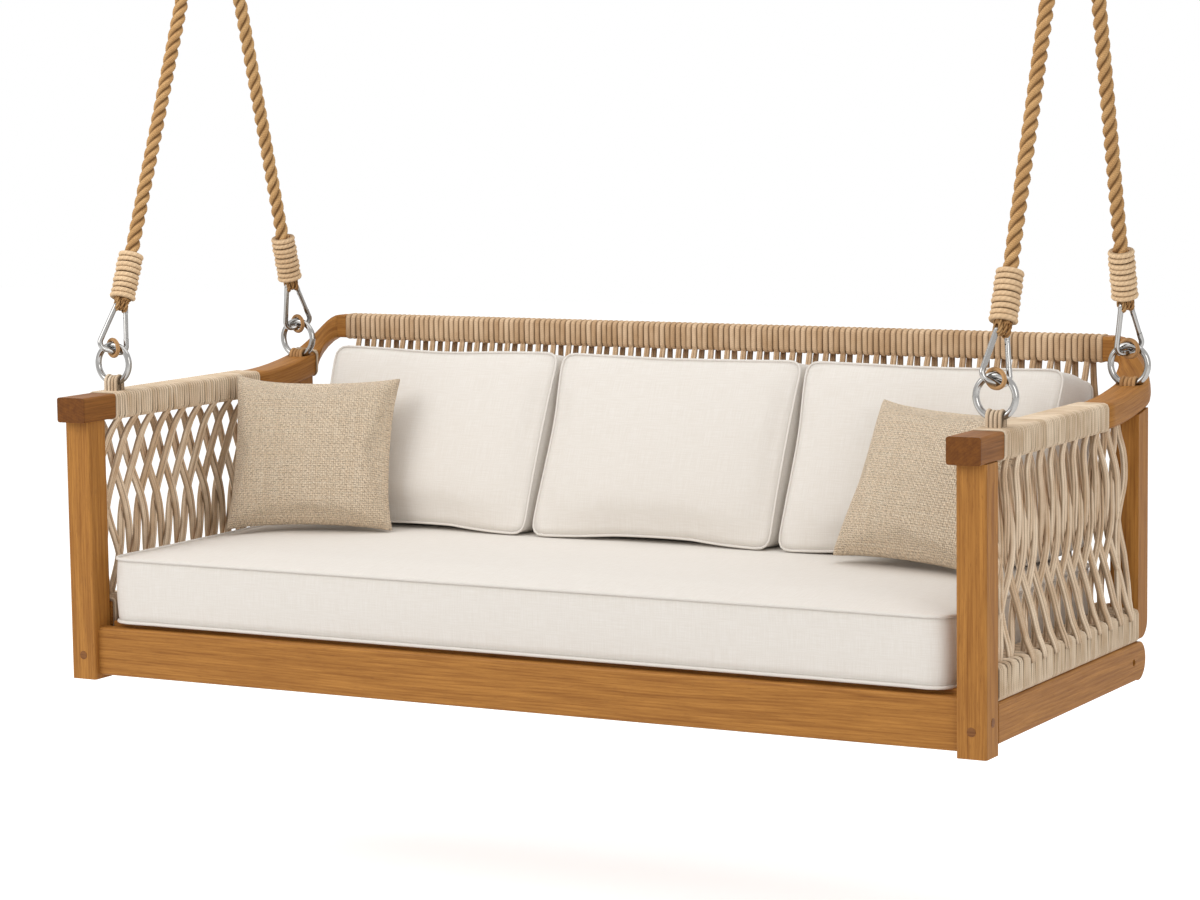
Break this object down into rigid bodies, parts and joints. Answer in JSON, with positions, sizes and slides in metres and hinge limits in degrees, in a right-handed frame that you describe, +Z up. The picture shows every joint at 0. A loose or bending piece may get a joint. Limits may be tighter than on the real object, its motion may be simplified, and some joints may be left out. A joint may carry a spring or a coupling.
{
  "type": "hanging swing bed",
  "caption": "Daybed swing hung by ropes, with a wooden frame, cord-wrapped arms and back, cord lattice panels, a box cushion, loose back cushions and throw pillows.",
  "frame": {"origin": "midway between the two hanger plates, in the plane of the ceiling", "axes": "+X along the bed to the right as seen from the front, +Y towards the back, +Z up"},
  "size_m": [2.048, 0.936, 1.816],
  "materials": {
    "oiled_wood": "oiled hardwood, satin",
    "arm_cord": "spun cord",
    "back_cord": "spun cord",
    "rope": "laid manila",
    "whipping_cord": "braided cord",
    "tie_cord": "waxed",
    "bronze": "machined",
    "linen": "linen canvas",
    "burlap": "coarse weave",
    "zinc_steel": "zinc plated",
    "stainless": "polished"
  },
  "bodies": {
    "ceiling_hangers": {"left_hanger": "zinc_steel", "right_hanger": "zinc_steel", "hanger_bolts": "zinc_steel", "hanger_nuts": "zinc_steel", "hanger_bushings": "bronze"},
    "left_link": {"left_link": "zinc_steel"},
    "left_ropes": {"left_master_ring": "stainless", "left_front_rope": "rope", "left_rear_rope": "rope", "left_whippings": "whipping_cord", "left_front_hook": "stainless", "left_rear_hook": "stainless", "left_ring_ties": "tie_cord"},
    "left_front_gate": {"left_front_gate": "stainless"},
    "left_rear_gate": {"left_rear_gate": "stainless"},
    "right_link": {"right_link": "zinc_steel"},
    "right_ropes": {"right_master_ring": "stainless", "right_front_rope": "rope", "right_rear_rope": "rope", "right_whippings": "whipping_cord", "right_front_hook": "stainless", "right_rear_hook": "stainless", "right_ring_ties": "tie_cord"},
    "right_front_gate": {"right_front_gate": "stainless"},
    "right_rear_gate": {"right_rear_gate": "stainless"},
    "bed": {"front_rings": "stainless", "rear_rings": "stainless", "ring_lashings": "whipping_cord", "left_front_post": "oiled_wood", "right_front_post": "oiled_wood", "left_rear_post": "oiled_wood", "right_rear_post": "oiled_wood", "left_arm": "oiled_wood", "right_arm": "oiled_wood", "left_corner": "oiled_wood", "right_corner": "oiled_wood", "back_top_rail": "oiled_wood", "front_rail": "oiled_wood", "left_side_rail": "oiled_wood", "right_side_rail": "oiled_wood", "back_bottom_rail": "oiled_wood", "side_panel_rails": "oiled_wood", "back_panel_rail": "oiled_wood", "seat_slats": "oiled_wood", "slat_cleats": "oiled_wood", "frame_bolts": "zinc_steel", "wood_plugs": "oiled_wood", "arm_wraps": "arm_cord", "back_top_wrap": "back_cord", "side_low_wraps": "arm_cord", "back_low_wrap": "back_cord", "left_lattice": "arm_cord", "right_lattice": "arm_cord", "back_lattice": "back_cord", "seat_cushion": "linen", "left_back_cushion": "linen", "middle_back_cushion": "linen", "right_back_cushion": "linen", "left_pillow": "burlap", "right_pillow": "burlap"}
  },
  "joints": [
    {"name": "swing_left", "type": "hinge", "parent": "ceiling_hangers", "child": "left_link", "pos_m": [-0.967, 0, -0.04], "axis": [1, 0, 0], "range_deg": [-15, 15]},
    {"name": "swing_right", "type": "hinge", "parent": "ceiling_hangers", "child": "right_link", "pos_m": [0.967, 0, -0.04], "axis": [1, 0, 0], "range_deg": [-15, 15]},
    {"name": "sway_left", "type": "hinge", "parent": "left_link", "child": "left_ropes", "pos_m": [-0.967, 0, -0.14684], "axis": [0, 1, 0], "range_deg": [-8, 8]},
    {"name": "sway_right", "type": "hinge", "parent": "right_link", "child": "right_ropes", "pos_m": [0.967, 0, -0.14684], "axis": [0, 1, 0], "range_deg": [-8, 8]},
    {"name": "bed_level", "type": "hinge", "parent": "left_ropes", "child": "bed", "pos_m": [-0.967, -0.053, -1.184], "axis": [0, 1, 0], "range_deg": [-8, 8]},
    {"name": "left_front_gate_hinge", "type": "hinge", "parent": "left_ropes", "child": "left_front_gate", "pos_m": [-0.95886, -0.35636, -1.08986], "axis": [-0.7621, 0.5946, -0.2563], "range_deg": [0, 22], "stiffness_Nm_per_rad": 0.15, "springref_deg": -17.19},
    {"name": "left_rear_gate_hinge", "type": "hinge", "parent": "left_ropes", "child": "left_rear_gate", "pos_m": [-0.95695, 0.27666, -1.08082], "axis": [-0.763, 0.6158, 0.1965], "range_deg": [0, 22], "stiffness_Nm_per_rad": 0.15, "springref_deg": -17.19},
    {"name": "right_front_gate_hinge", "type": "hinge", "parent": "right_ropes", "child": "right_front_gate", "pos_m": [0.97514, -0.35636, -1.08986], "axis": [-0.7621, 0.5946, -0.2563], "range_deg": [0, 22], "stiffness_Nm_per_rad": 0.15, "springref_deg": -17.19},
    {"name": "right_rear_gate_hinge", "type": "hinge", "parent": "right_ropes", "child": "right_rear_gate", "pos_m": [0.97705, 0.27666, -1.08082], "axis": [-0.763, 0.6158, 0.1965], "range_deg": [0, 22], "stiffness_Nm_per_rad": 0.15, "springref_deg": -17.19}
  ],
  "couplings": [
    {"joint": "swing_right", "follows": "swing_left", "ratio": 1},
    {"joint": "sway_right", "follows": "sway_left", "ratio": 1},
    {"joint": "bed_level", "follows": "sway_left", "ratio": -1}
  ]
}
